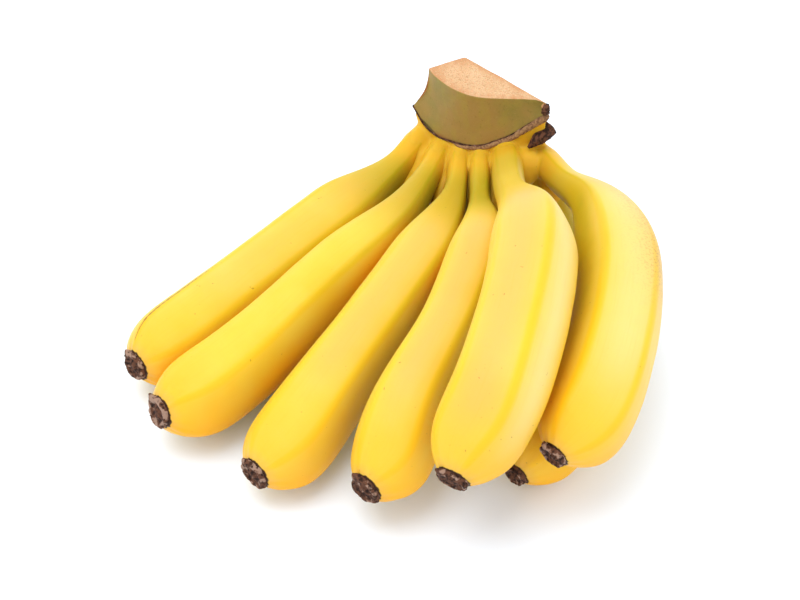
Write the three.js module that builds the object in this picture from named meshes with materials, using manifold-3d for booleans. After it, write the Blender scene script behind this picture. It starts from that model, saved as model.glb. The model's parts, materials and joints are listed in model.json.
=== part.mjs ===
// A hand of seven ripe bananas on its cut crown, resting with the hollow side down.
// Millimetres, +Z up. The fruits spread towards -Y from the crown, which stands at the back.
import * as THREE from "three";
import Module from "manifold-3d";

const wasm = await Module();
wasm.setup();

// Driving dimensions
const GAP = 0.3; // left between pieces that touch
const RING_SIDES = 20; // points round a fruit, four to each of its five ridges
const RING_COUNT = 25; // rings along a fruit
const RING_CROWDING = 1.4; // above 1, the rings stand closer towards the blunt end
const RIDGE_SHARE = 0.035; // how far a ridge stands out, as a share of the radius
const TIP_LENGTH = 4.2; // how far the dried flower end stands out
const TAPER_START = 0.75; // share of the length where a fruit starts to close
const PRESS_END = 0.62; // share of the length up to which neighbours press a fruit
const CLOSING_POWER = 6.2; // the higher, the blunter the closed end
const STALK_DEPTH = 0.35; // how much taller than wide a stalk is
const ROOT_LENGTH = 14; // how far a stalk reaches back into the cushion
const CROWN_TOP = 71; // height of the flat cut face

const UP = new THREE.Vector3(0, 0, 1);

// A fruit's route runs from its stalk to its flower end. Radius is its full girth's,
// stalk the half width of its stalk and tip its radius where the dried flower end sits.
// Neck and shoulder are the shares of its length where it starts to swell and where it is
// full. Squeeze is how much its neighbours press it narrow, and turn the angle of its
// first ridge from straight up, in degrees.
const FRUITS = [
  {
    name: "banana_1",
    radius: 17.7,
    stalk: 6.4,
    neck: 0.05,
    shoulder: 0.34,
    tip: 6.4,
    squeeze: 0.08,
    turn: 50,
    route: [
      [7.3, 103.6, 32],
      [-0.9, 93.8, 28],
      [-17.6, 75.8, 22.6],
      [-50.1, 38.9, 19.6],
      [-80.4, 2.2, 19.3],
      [-100, -19.2, 18.7],
      [-109.5, -28.4, 19.4],
    ],
  },
  {
    name: "banana_2",
    radius: 17.7,
    stalk: 5.6,
    neck: 0.04,
    shoulder: 0.48,
    tip: 6.4,
    squeeze: 0.205,
    turn: 40,
    route: [
      [17.5, 94, 33],
      [10.3, 75, 32.1],
      [-2.9, 50.5, 28.2],
      [-34.3, 7.6, 26.1],
      [-61.5, -30.5, 26],
      [-83.3, -49.2, 21.7],
      [-95.5, -59.5, 24.3],
    ],
  },
  {
    name: "banana_3",
    radius: 17.9,
    stalk: 5,
    neck: 0.06,
    shoulder: 0.4,
    tip: 6.2,
    squeeze: 0.15,
    turn: 45,
    route: [
      [27.2, 88, 34.4],
      [24.6, 63.9, 34.1],
      [14.7, 32.1, 32.8],
      [-9.3, -16.9, 31.2],
      [-31, -52, 25],
      [-45.8, -75, 19.8],
      [-56, -86.7, 19],
    ],
  },
  {
    name: "banana_4",
    radius: 17.2,
    stalk: 4.9,
    neck: 0.12,
    shoulder: 0.47,
    tip: 6.2,
    squeeze: 0.19,
    turn: 35,
    route: [
      [37, 85.5, 36],
      [35.5, 51, 39.5],
      [33.7, 13.1, 46.7],
      [21.3, -35, 47.6],
      [3.2, -69.3, 37.8],
      [-5.8, -89.9, 25.7],
      [-12.7, -99, 24.6],
    ],
  },
  {
    name: "banana_5",
    radius: 18.2,
    stalk: 7.1,
    neck: 0.22,
    shoulder: 0.52,
    tip: 6,
    squeeze: 0.04,
    turn: 32,
    route: [
      [48.9, 83, 38.5],
      [48.2, 39.1, 56],
      [52.6, -9.4, 73.8],
      [46.9, -53, 76.3],
      [36.9, -86, 69.2],
      [29.3, -96, 55.4],
      [19.4, -113.2, 47.2],
    ],
  },
  {
    name: "banana_6",
    radius: 18.1,
    stalk: 5.8,
    neck: 0.1,
    shoulder: 0.51,
    tip: 5.6,
    squeeze: 0.04,
    turn: -25,
    route: [
      [68, 82.5, 38],
      [73, 66, 42],
      [85, 32, 53],
      [89.3, -13.5, 58],
      [81.4, -56.2, 55.3],
      [69.3, -84.8, 47.2],
      [57.7, -97.8, 42.7],
    ],
  },
  {
    name: "banana_7",
    radius: 15.5,
    stalk: 5.4,
    neck: 0.13,
    shoulder: 0.47,
    tip: 4.8,
    squeeze: 0.05,
    turn: 30,
    route: [
      [69, 89, 20],
      [73, 78, 19],
      [77.5, 59, 18],
      [80.5, 13.5, 17],
      [71, -38, 17],
      [57.5, -69.5, 16],
      [46.1, -82.6, 13.5],
    ],
  },
];

// The rind block, from its left corner round the front arc to its right corner and back
// along the straight cut: plan position at the cut face, then the foot's own position.
const RIND_EDGE = [
  { cut: [13, 112], foot: [6, 110, 51.5] },
  { cut: [15.5, 106.5], foot: [12, 105.5, 43] },
  { cut: [20, 100], foot: [17.5, 101, 40.5] },
  { cut: [25, 95], foot: [24, 95.5, 41.5] },
  { cut: [31, 91], foot: [31, 91.5, 42.5] },
  { cut: [37, 89], foot: [37.5, 89.5, 44] },
  { cut: [43.5, 88.3], foot: [44, 88.5, 47.3] },
  { cut: [50, 88], foot: [50, 88, 50.5] },
  { cut: [56, 87.8], foot: [56, 87.5, 55.5] },
  { cut: [61.5, 87], foot: [62, 86.5, 61] },
  { cut: [65.5, 84.5], foot: [67, 84.5, 66] },
  { cut: [57, 93.5], foot: [58.5, 94, 57] },
  { cut: [48, 103], foot: [49, 104, 50] },
  { cut: [39, 112], foot: [39, 113.5, 47] },
  { cut: [30, 121], foot: [28, 123, 47] },
  { cut: [21.5, 116.5], foot: [17, 117, 48] },
];

// Plan of the cushion that the stalks grow from, at its widest, in the same order.
const CUSHION_EDGE = [
  [9.5, 113],
  [13, 109],
  [17.5, 105],
  [23.5, 98],
  [30, 92],
  [37.5, 90],
  [44, 89],
  [51, 88],
  [57, 88.5],
  [63, 90],
  [67, 92],
  [68, 98.5],
  [60, 106],
  [47, 115.5],
  [34, 125.5],
  [20, 124],
];
const CUSHION_MIDDLE = [42, 106];
// Height of each ring of the cushion and its size as a share of the widest plan.
const CUSHION_RINGS = [
  [0, 0.5],
  [1.5, 0.62],
  [7, 0.8],
  [16, 0.94],
  [26, 1],
  [34, 1],
];
const LEDGE = 0.8; // how far the cushion's corky top edge stands out past the rind's foot
const LEDGE_DEPTH = 3.5; // height of that corky edge

// The dried stump where one more fruit was cut away.
const STUMP_ROUTE = [
  [59.6, 83.9, 46],
  [64.9, 86, 49],
  [71, 91.5, 50.5],
];

function peelMaterial() {
  return new THREE.MeshStandardMaterial({ color: 0xf7cf3a, roughness: 0.5, metalness: 0 });
}

function cushionMaterial() {
  return new THREE.MeshStandardMaterial({ color: 0xe9c040, roughness: 0.55, metalness: 0 });
}

function rindMaterial() {
  return new THREE.MeshStandardMaterial({ color: 0x958a3e, roughness: 0.65, metalness: 0 });
}

function driedMaterial() {
  return new THREE.MeshStandardMaterial({ color: 0x4a2c20, roughness: 0.9, metalness: 0 });
}

function solidFromGeometry(geometry) {
  return new wasm.Manifold(
    new wasm.Mesh({
      numProp: 3,
      vertProperties: new Float32Array(geometry.getAttribute("position").array),
      triVerts: new Uint32Array(geometry.index.array),
    }),
  );
}

function geometryFromSolid(solid) {
  const mesh = solid.getMesh();
  const geometry = new THREE.BufferGeometry();
  geometry.setAttribute("position", new THREE.BufferAttribute(mesh.vertProperties.slice(), 3));
  geometry.setIndex(new THREE.BufferAttribute(mesh.triVerts.slice(), 1));
  geometry.computeVertexNormals();
  return geometry;
}

function middleOf(ring) {
  const sum = new THREE.Vector3();
  ring.forEach((point) => sum.add(point));
  return sum.divideScalar(ring.length);
}

// Joins rings of points into one closed skin, with a fan of faces over each end.
function loftGeometry(rings) {
  const sides = rings[0].length;
  const positions = [];
  const faces = [];
  for (const ring of rings) {
    for (const point of ring) {
      positions.push(point.x, point.y, point.z);
    }
  }
  for (let i = 0; i < rings.length - 1; i += 1) {
    for (let j = 0; j < sides; j += 1) {
      const a = i * sides + j;
      const b = i * sides + ((j + 1) % sides);
      faces.push(a, b + sides, b);
      faces.push(a, a + sides, b + sides);
    }
  }
  const first = middleOf(rings[0]);
  const last = middleOf(rings[rings.length - 1]);
  const firstIndex = positions.length / 3;
  const lastRing = (rings.length - 1) * sides;
  positions.push(first.x, first.y, first.z, last.x, last.y, last.z);
  for (let j = 0; j < sides; j += 1) {
    const next = (j + 1) % sides;
    faces.push(firstIndex, j, next);
    faces.push(firstIndex + 1, lastRing + next, lastRing + j);
  }
  const geometry = new THREE.BufferGeometry();
  geometry.setAttribute("position", new THREE.Float32BufferAttribute(positions, 3));
  geometry.setIndex(faces);
  geometry.computeVertexNormals();
  return geometry;
}

function curveThrough(route) {
  const points = route.map(([x, y, z]) => new THREE.Vector3(x, y, z));
  return new THREE.CatmullRomCurve3(points, false, "centripetal");
}

// Directions across a curve at a share of its length: along it, to its side and above it.
function directionsAt(curve, share) {
  const along = curve.getTangentAt(share);
  const chord = curve.getPoint(1).sub(curve.getPoint(0));
  const side = new THREE.Vector3().crossVectors(UP, chord);
  side.addScaledVector(along, -side.dot(along)).normalize();
  const lift = new THREE.Vector3().crossVectors(along, side);
  return { along, side, lift };
}

// Radius along a fruit: slim stalk, full body, blunt closed end.
function fruitRadius(fruit, share) {
  const swell = THREE.MathUtils.smoothstep(share, fruit.neck, fruit.shoulder);
  const closing = Math.max(0, (share - TAPER_START) / (1 - TAPER_START));
  const open = 1 - (1 - fruit.tip / fruit.radius) * Math.pow(closing, CLOSING_POWER);
  return (fruit.stalk + (fruit.radius - fruit.stalk) * swell) * open;
}

// One ring of a fruit square to its route, moved along it by offset and sized by grow.
function fruitRing(fruit, curve, share, offset, grow) {
  const centre = curve.getPointAt(share);
  const { along, side, lift } = directionsAt(curve, share);
  const body = THREE.MathUtils.smoothstep(share, 0, fruit.shoulder);
  const radius = fruitRadius(fruit, share) * grow;
  const press = fruit.squeeze * body * (1 - THREE.MathUtils.smoothstep(share, PRESS_END, 1));
  const wide = radius * (1 - press);
  const tall = radius * (1 + STALK_DEPTH * (1 - body) + 0.6 * press);
  const start = THREE.MathUtils.degToRad(fruit.turn);
  const ring = [];
  for (let j = 0; j < RING_SIDES; j += 1) {
    const angle = (2 * Math.PI * j) / RING_SIDES;
    const ridge = 1 + RIDGE_SHARE * Math.cos(5 * angle);
    const point = centre.clone().addScaledVector(along, offset);
    point.addScaledVector(lift, tall * ridge * Math.cos(start + angle));
    point.addScaledVector(side, wide * ridge * Math.sin(start + angle));
    ring.push(point);
  }
  return ring;
}

function fruitGeometry(fruit) {
  const curve = curveThrough(fruit.route);
  const rings = [fruitRing(fruit, curve, 0, GAP, 1)];
  for (let i = 1; i <= RING_COUNT; i += 1) {
    const share = 1 - Math.pow(1 - i / RING_COUNT, RING_CROWDING);
    rings.push(fruitRing(fruit, curve, share, 0, 1));
  }
  return loftGeometry(rings);
}

// The dried flower end: a short rough knob on the closed end of a fruit.
function tipGeometry(fruit) {
  const curve = curveThrough(fruit.route);
  const rings = [
    fruitRing(fruit, curve, 1, GAP, 0.98),
    fruitRing(fruit, curve, 1, 0.5 * TIP_LENGTH, 1),
    fruitRing(fruit, curve, 1, 0.85 * TIP_LENGTH, 0.85),
    fruitRing(fruit, curve, 1, TIP_LENGTH, 0.5),
  ];
  return loftGeometry(rings);
}

// The root of one stalk, from inside the cushion to where its fruit starts.
function rootSolid(fruit) {
  const curve = curveThrough(fruit.route);
  const rings = [
    fruitRing(fruit, curve, 0, -ROOT_LENGTH, 0.92),
    fruitRing(fruit, curve, 0, 0, 1),
  ];
  return solidFromGeometry(loftGeometry(rings));
}

// Moves each point of a level ring outwards, square to the edges that meet at it.
function spreadRing(ring, distance) {
  const count = ring.length;
  return ring.map((point, j) => {
    const before = point.clone().sub(ring[(j + count - 1) % count]).setZ(0).normalize();
    const after = ring[(j + 1) % count].clone().sub(point).setZ(0).normalize();
    const outward = new THREE.Vector3(-before.y - after.y, before.x + after.x, 0).normalize();
    const sharpness = Math.max(0.4, outward.x * -after.y + outward.y * after.x);
    return point.clone().addScaledVector(outward, distance / sharpness);
  });
}

// The rind block's edge, from its foot (share 0) to its cut (share 1).
function rindRing(share, grow) {
  const ring = RIND_EDGE.map(({ cut, foot }) => {
    const x = THREE.MathUtils.lerp(foot[0], cut[0], share);
    const y = THREE.MathUtils.lerp(foot[1], cut[1], share);
    const z = THREE.MathUtils.lerp(foot[2], CROWN_TOP, share);
    return new THREE.Vector3(x, y, z);
  });
  return spreadRing(ring.reverse(), grow);
}

function loweredRing(ring, drop) {
  return ring.map((point) => new THREE.Vector3(point.x, point.y, point.z - drop));
}

function rindSolid(grow) {
  const rings = [0, 0.33, 0.67, 1].map((share) => rindRing(share, grow));
  rings[0] = loweredRing(rings[0], grow);
  return solidFromGeometry(loftGeometry(rings));
}

function cushionSolid() {
  const [middleX, middleY] = CUSHION_MIDDLE;
  const rings = CUSHION_RINGS.map(([height, size]) => {
    const ring = CUSHION_EDGE.map(([x, y]) => {
      const reachX = (x - middleX) * size;
      const reachY = (y - middleY) * size;
      return new THREE.Vector3(middleX + reachX, middleY + reachY, height);
    });
    return ring.reverse();
  });
  rings.push(loweredRing(rindRing(0, LEDGE), LEDGE_DEPTH));
  rings.push(loweredRing(rindRing(0, LEDGE), LEDGE));
  rings.push(loweredRing(rindRing(0, 0), GAP));
  return solidFromGeometry(loftGeometry(rings));
}

function stumpSolid(grow) {
  const curve = curveThrough(STUMP_ROUTE);
  const sizes = [1, 2.8, 3.6, 3.6, 2.6];
  const sides = 12;
  const rings = sizes.map((size, i) => {
    const share = i / (sizes.length - 1);
    const { along, side, lift } = directionsAt(curve, share);
    const centre = curve.getPointAt(share);
    centre.addScaledVector(along, grow * (2 * share - 1));
    const ring = [];
    for (let j = 0; j < sides; j += 1) {
      const angle = (2 * Math.PI * j) / sides;
      const point = centre.clone();
      point.addScaledVector(lift, (size + grow) * Math.cos(angle));
      point.addScaledVector(side, (size + grow) * Math.sin(angle));
      ring.push(point);
    }
    return ring;
  });
  return solidFromGeometry(loftGeometry(rings));
}

function crownCushionSolid() {
  const rindSpace = rindSolid(GAP);
  const roots = FRUITS.map((fruit) => rootSolid(fruit).subtract(rindSpace));
  const grown = roots.reduce((whole, root) => whole.add(root), cushionSolid());
  return grown.subtract(stumpSolid(GAP));
}

const hand = new THREE.Group();
hand.name = "hand";

function addMesh(name, geometry, material) {
  const mesh = new THREE.Mesh(geometry, material);
  mesh.name = name;
  hand.add(mesh);
}

addMesh("crown_cushion", geometryFromSolid(crownCushionSolid()), cushionMaterial());
addMesh("crown_rind", geometryFromSolid(rindSolid(0)), rindMaterial());
addMesh("stalk_stump", geometryFromSolid(stumpSolid(0)), driedMaterial());
for (const fruit of FRUITS) {
  addMesh(fruit.name, fruitGeometry(fruit), peelMaterial());
  addMesh(`${fruit.name}_tip`, tipGeometry(fruit), driedMaterial());
}

// The origin is on the surface it rests on, under the middle of the whole bunch.
const bounds = new THREE.Box3().setFromObject(hand);
const middle = bounds.getCenter(new THREE.Vector3());
hand.position.set(-middle.x, -middle.y, -bounds.min.z);

const bunch = new THREE.Group();
bunch.name = "banana_bunch";
bunch.add(hand);

export default bunch;
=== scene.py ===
import json
import math

import bmesh
import bpy
import numpy as np
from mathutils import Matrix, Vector, noise


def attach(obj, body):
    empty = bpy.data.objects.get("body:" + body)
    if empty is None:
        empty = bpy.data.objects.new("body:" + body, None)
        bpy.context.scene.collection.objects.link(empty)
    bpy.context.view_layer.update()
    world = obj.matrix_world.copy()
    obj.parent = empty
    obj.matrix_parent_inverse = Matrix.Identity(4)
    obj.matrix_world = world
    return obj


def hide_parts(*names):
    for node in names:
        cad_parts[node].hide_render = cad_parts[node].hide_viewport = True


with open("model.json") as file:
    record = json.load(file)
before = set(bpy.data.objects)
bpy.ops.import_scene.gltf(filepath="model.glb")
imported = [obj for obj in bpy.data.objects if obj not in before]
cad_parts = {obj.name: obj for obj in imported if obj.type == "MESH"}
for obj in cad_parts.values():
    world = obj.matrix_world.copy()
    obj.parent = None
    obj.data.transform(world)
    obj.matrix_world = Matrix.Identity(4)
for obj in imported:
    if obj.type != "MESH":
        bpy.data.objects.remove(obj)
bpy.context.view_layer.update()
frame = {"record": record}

# A ripe hand of seven bananas on its cut crown, lying hollow side down.
# Lengths in the dictionaries are millimetres, angles degrees, shares run from stalk to flower end.
mm = 0.001
up = np.array([0.0, 0.0, 1.0])
cushionMiddle = np.array([42.0, 106.0, 0.0])  # the flat foot of the crown stands under this point
restPoint = np.array(frame["record"]["mounts"][0]["pos_m"]) / mm
handShift = np.round(restPoint - cushionMiddle, 4)  # the routes' own origin to the frame's


def linear(hexColour):  # sRGB hex to the linear colour that shaders take
    channels = [int(hexColour[i:i + 2], 16) / 255 for i in (1, 3, 5)]
    return tuple(c / 12.92 if c < 0.04045 else ((c + 0.055) / 1.055) ** 2.4 for c in channels) + (1.0,)


def feed(tree, node, inputs):  # each socket, by name or number, gets a value or the output that feeds it
    for key, value in inputs.items():
        if isinstance(value, bpy.types.NodeSocket):
            tree.links.new(value, node.inputs[key])
        else:
            node.inputs[key].default_value = value


def addNode(tree, kind, inputs=None, output=0, **settings):  # adds a node and gives back the output asked for
    node = tree.nodes.new(kind)
    for name, value in settings.items():
        setattr(node, name, value)
    feed(tree, node, inputs or {})
    return node.outputs[output]


def smoothStep(x, low, high):
    t = np.clip((x - low) / (high - low), 0.0, 1.0)
    return t * t * (3 - 2 * t)


def bump(x, middle, width):  # a smooth hill of height 1
    return np.exp(-((x - middle) / width) ** 2)


def catmullRom(points, perStretch=60):  # dense centripetal curve through the points
    p = np.asarray(points, float)
    p = np.vstack([2 * p[0] - p[1], p, 2 * p[-1] - p[-2]])
    dense = []
    for i in range(len(p) - 3):
        p0, p1, p2, p3 = p[i:i + 4]
        t1 = np.linalg.norm(p1 - p0) ** 0.5
        t2 = t1 + np.linalg.norm(p2 - p1) ** 0.5
        t3 = t2 + np.linalg.norm(p3 - p2) ** 0.5
        t = np.linspace(t1, t2, perStretch, endpoint=False)[:, None]
        a1 = p0 + (p1 - p0) * t / t1
        a2 = p1 + (p2 - p1) * (t - t1) / (t2 - t1)
        a3 = p2 + (p3 - p2) * (t - t2) / (t3 - t2)
        b1 = a1 + (a2 - a1) * t / t2
        b2 = a2 + (a3 - a2) * (t - t1) / (t3 - t1)
        dense.append(b1 + (b2 - b1) * (t - t1) / (t2 - t1))
    return np.vstack(dense + [p[-2:-1]])


def alongCurve(dense, shares):  # points at shares of the curve's length
    steps = np.linalg.norm(np.diff(dense, axis=0), axis=1)
    travelled = np.concatenate([[0.0], np.cumsum(steps)])
    places = np.clip(np.atleast_1d(shares), 0.0, 1.0) * travelled[-1]
    return np.stack([np.interp(places, travelled, dense[:, k]) for k in range(3)], axis=1)


def unit(vectors):
    return vectors / np.linalg.norm(vectors, axis=-1, keepdims=True)


def meshObject(name, points, faces, edges=()):
    mesh = bpy.data.meshes.new(name)
    mesh.from_pydata([tuple(p) for p in points], [tuple(e) for e in edges], [tuple(f) for f in faces])
    thing = bpy.data.objects.new(name, mesh)
    bpy.context.scene.collection.objects.link(thing)
    return thing


def loftFaces(rows, sides):  # quads between the rows of a tube, then one face over each end
    faces = []
    for i in range(rows - 1):
        for j in range(sides):
            k = (j + 1) % sides
            faces.append((i * sides + j, i * sides + k, (i + 1) * sides + k, (i + 1) * sides + j))
    faces.append(tuple(range(sides - 1, -1, -1)))
    faces.append(tuple((rows - 1) * sides + j for j in range(sides)))
    return faces


def faceOutwards(mesh):
    work = bmesh.new()
    work.from_mesh(mesh)
    bmesh.ops.recalc_face_normals(work, faces=work.faces)
    work.to_mesh(mesh)
    work.free()
    mesh.shade_smooth()


def storeFloats(mesh, name, values):
    attribute = mesh.attributes.get(name) or mesh.attributes.new(name, "FLOAT", "POINT")
    attribute.data.foreach_set("value", np.asarray(values, np.float32).ravel())


def storeVectors(mesh, name, values):
    attribute = mesh.attributes.new(name, "FLOAT_VECTOR", "POINT")
    attribute.data.foreach_set("vector", np.asarray(values, np.float32).ravel())


def readFloats(mesh, name):
    values = np.zeros(len(mesh.vertices), np.float32)
    mesh.attributes[name].data.foreach_get("value", values)
    return values


def readPoints(mesh):
    points = np.zeros(len(mesh.vertices) * 3, np.float32)
    mesh.vertices.foreach_get("co", points)
    return points.reshape(-1, 3).astype(float)


def writePoints(mesh, points):
    mesh.vertices.foreach_set("co", np.asarray(points, np.float32).ravel())
    mesh.update()


def plainMesh(host, name):  # the host with its modifiers run, as a new plain object
    bpy.context.view_layer.update()
    evaluated = host.evaluated_get(bpy.context.evaluated_depsgraph_get())
    mesh = bpy.data.meshes.new_from_object(evaluated)
    mesh.name = name
    bpy.data.objects.remove(host)
    piece = bpy.data.objects.new(name, mesh)
    bpy.context.scene.collection.objects.link(piece)
    return piece


def growFrom(host, tree, name, values):  # runs a node tree on a host and keeps the plain result
    modifier = host.modifiers.new(tree.name, "NODES")
    modifier.node_group = tree
    for item in tree.interface.items_tree:
        if item.item_type == "SOCKET" and item.in_out == "INPUT" and item.name in values:
            modifier[item.identifier] = values[item.name]
    return plainMesh(host, name)


def newTree(name, inputs):  # a geometry node tree with named inputs, and its two end nodes
    tree = bpy.data.node_groups.new(name, "GeometryNodeTree")
    tree.interface.new_socket("Geometry", in_out="OUTPUT", socket_type="NodeSocketGeometry")
    tree.interface.new_socket("Geometry", in_out="INPUT", socket_type="NodeSocketGeometry")
    for label, kind in inputs.items():
        tree.interface.new_socket(label, in_out="INPUT", socket_type="NodeSocket" + kind)
    return tree, tree.nodes.new("NodeGroupInput").outputs, tree.nodes.new("NodeGroupOutput")


def finishTree(tree, geometry, material, end):  # real geometry and its material close every tree
    whole = addNode(tree, "GeometryNodeRealizeInstances", {"Geometry": geometry})
    painted = addNode(tree, "GeometryNodeSetMaterial", {"Geometry": whole, "Material": material})
    tree.links.new(painted, end.inputs[0])


def newMaterial(name):  # a node material with its principled shader, and its tree
    material = bpy.data.materials.new(name)
    material.use_nodes = True
    tree = material.node_tree
    return material, tree, tree.nodes["Principled BSDF"]


def keep(piece, slotName, *nodes):  # hangs a piece on the root body and hides the parts that it stands for; its slot name is not used
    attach(piece, "root")
    if nodes:
        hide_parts(*nodes)


cameraView = {
    "lens": 70.0,
    "distance": 660.0,
    "elevation": 43.0,
    "lookAt": (0.0, 0.0, 30.0),
}

softLight = {
    "sky": 1.33,
    "keyPower": 12.6,
    "keySize": 1050.0,
    "keyFrom": (-360.0, -260.0, 1700.0),
    "floorColour": "#E9F3FF",
}


def placeCamera():
    angle = math.radians(cameraView["elevation"])
    target = (np.array(cameraView["lookAt"]) + handShift) * mm
    back = np.array([0.0, -math.cos(angle), math.sin(angle)])
    camera = bpy.data.objects.new("handCamera", bpy.data.cameras.new("handCamera"))
    bpy.context.scene.collection.objects.link(camera)
    camera.data.lens = cameraView["lens"]
    camera.location = target + back * cameraView["distance"] * mm
    camera.rotation_euler = Vector(-back).to_track_quat("-Z", "Y").to_euler()
    bpy.context.scene.camera = camera


def layFloor():
    half = 4.0  # metres
    corners = [(-half, -half, 0), (half, -half, 0), (half, half, 0), (-half, half, 0)]
    floor = meshObject("paleFloor", corners, [(0, 1, 2, 3)])
    material, tree, shader = newMaterial("whitePaperFloor")  # matt white sweep: no gloss to mirror the fruit
    feed(tree, shader, {"Base Color": linear(softLight["floorColour"]), "Roughness": 1.0,
                        "Specular IOR Level": 0.0})
    floor.data.materials.append(material)


def hangLights():
    world = bpy.data.worlds.new("paleRoom")
    world.use_nodes = True
    sky = world.node_tree.nodes["Background"]
    feed(world.node_tree, sky, {"Color": linear("#FFFFFF"), "Strength": softLight["sky"]})
    bpy.context.scene.world = world
    lamp = bpy.data.lights.new("keySoftbox", "AREA")
    lamp.size = softLight["keySize"] * mm
    lamp.energy = softLight["keyPower"]
    key = bpy.data.objects.new("keySoftbox", lamp)
    key.location = np.array(softLight["keyFrom"]) * mm
    key.rotation_euler = Vector(-key.location).to_track_quat("-Z", "Y").to_euler()
    bpy.context.scene.collection.objects.link(key)
    bpy.context.scene.view_settings.view_transform = "Standard"


placeCamera()
layFloor()
hangLights()
print("camera, floor and light are up")


# Radius is the full girth's, stalk the stalk's half width, tip the radius under the dried end.
# Neck and shoulder are the shares where the fruit starts to swell and is full, squeeze is how
# much its neighbours press it narrow, turn the angle of its first ridge from straight up.
fruits = [
    {"radius": 17.7, "stalk": 6.4, "neck": 0.05, "shoulder": 0.34, "tip": 6.4, "squeeze": 0.08, "turn": 50,
     "route": [(7.3, 103.6, 32), (-0.9, 93.8, 28), (-17.6, 75.8, 22.6), (-50.1, 38.9, 19.6),
               (-80.4, 2.2, 19.3), (-100, -19.2, 18.7), (-109.5, -28.4, 19.4)]},
    {"radius": 17.7, "stalk": 5.6, "neck": 0.04, "shoulder": 0.48, "tip": 6.4, "squeeze": 0.205, "turn": 40,
     "route": [(17.5, 94, 33), (10.3, 75, 32.1), (-2.9, 50.5, 28.2), (-34.3, 7.6, 26.1),
               (-61.5, -30.5, 26), (-83.3, -49.2, 21.7), (-95.5, -59.5, 24.3)]},
    {"radius": 17.9, "stalk": 5.0, "neck": 0.06, "shoulder": 0.40, "tip": 6.2, "squeeze": 0.15, "turn": 45,
     "route": [(27.2, 88, 34.4), (24.6, 63.9, 34.1), (14.7, 32.1, 32.8), (-9.3, -16.9, 31.2),
               (-31, -52, 25), (-45.8, -75, 19.8), (-56, -86.7, 19)]},
    {"radius": 17.2, "stalk": 4.9, "neck": 0.12, "shoulder": 0.47, "tip": 6.2, "squeeze": 0.19, "turn": 35,
     "route": [(37, 85.5, 36), (35.5, 51, 39.5), (33.7, 13.1, 46.7), (21.3, -35, 47.6),
               (3.2, -69.3, 37.8), (-5.8, -89.9, 25.7), (-12.7, -99, 24.6)]},
    {"radius": 18.2, "stalk": 7.1, "neck": 0.22, "shoulder": 0.52, "tip": 6.0, "squeeze": 0.04, "turn": 21,
     "route": [(48.9, 83, 38.5), (48.2, 39.1, 56), (52.6, -9.4, 73.8), (46.9, -53, 76.3),
               (36.9, -86, 69.2), (29.3, -96, 55.4), (19.4, -113.2, 47.2)]},
    {"radius": 18.1, "stalk": 5.8, "neck": 0.10, "shoulder": 0.51, "tip": 5.6, "squeeze": 0.04, "turn": -25,
     "route": [(68, 82.5, 38), (73, 66, 42), (85, 32, 53), (89.3, -13.5, 58),
               (81.4, -56.2, 55.3), (69.3, -84.8, 47.2), (57.7, -97.8, 42.7)]},
    {"radius": 15.5, "stalk": 5.4, "neck": 0.13, "shoulder": 0.47, "tip": 4.8, "squeeze": 0.05, "turn": 30,
     "route": [(69, 89, 20), (73, 78, 19), (77.5, 59, 18), (80.5, 13.5, 17),
               (71, -38, 17), (57.5, -69.5, 16), (46.1, -82.6, 13.5)]},
]


fruitForm = {
    "length": 190.0,  # a fruit's usual length, by which millimetres along it become shares
    "taperStart": 0.75,  # share where the body starts to close
    "closingPower": 6.2,  # the higher, the blunter the closed end
    "pressEnd": 0.62,  # share up to which neighbours press a fruit
    "pressRise": 0.6,  # how much of the squeeze goes into its height
    "stalkDepth": 0.35,  # how much taller than wide a stalk is
    "linePoints": 241,
    "evening": 40,  # rounds of averaging that take the kinks out of the middle line
    "slowTurning": 260,  # rounds of averaging that slow the turning of the rings
    "rings": 230,
    "crowding": 1.4,  # above 1, rings stand closer towards the blunt end
    "rootDepth": 9.0,  # how far the skin reaches back into the crown
    "rootRings": [(-1.0, 0.05), (-0.98, 0.86), (-0.5, 0.92), (0.0, 1.0)],  # share of that depth, of the girth
    "endRings": [(0.15, 0.93), (0.25, 0.7), (0.3, 0.35), (0.3, 0.03)],  # mm past the end, share of the girth
}


def evened(rows, rounds):  # rows averaged with their neighbours, the first and last row held
    rows = rows.copy()
    for _ in range(rounds):
        rows[1:-1] = 0.25 * rows[:-2] + 0.5 * rows[1:-1] + 0.25 * rows[2:]
    return rows


def fruitLine(fruit):  # the fruit's middle line without the kinks of its route
    shares = np.linspace(0, 1, fruitForm["linePoints"])
    return evened(alongCurve(catmullRom(fruit["route"]), shares), fruitForm["evening"])


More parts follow.
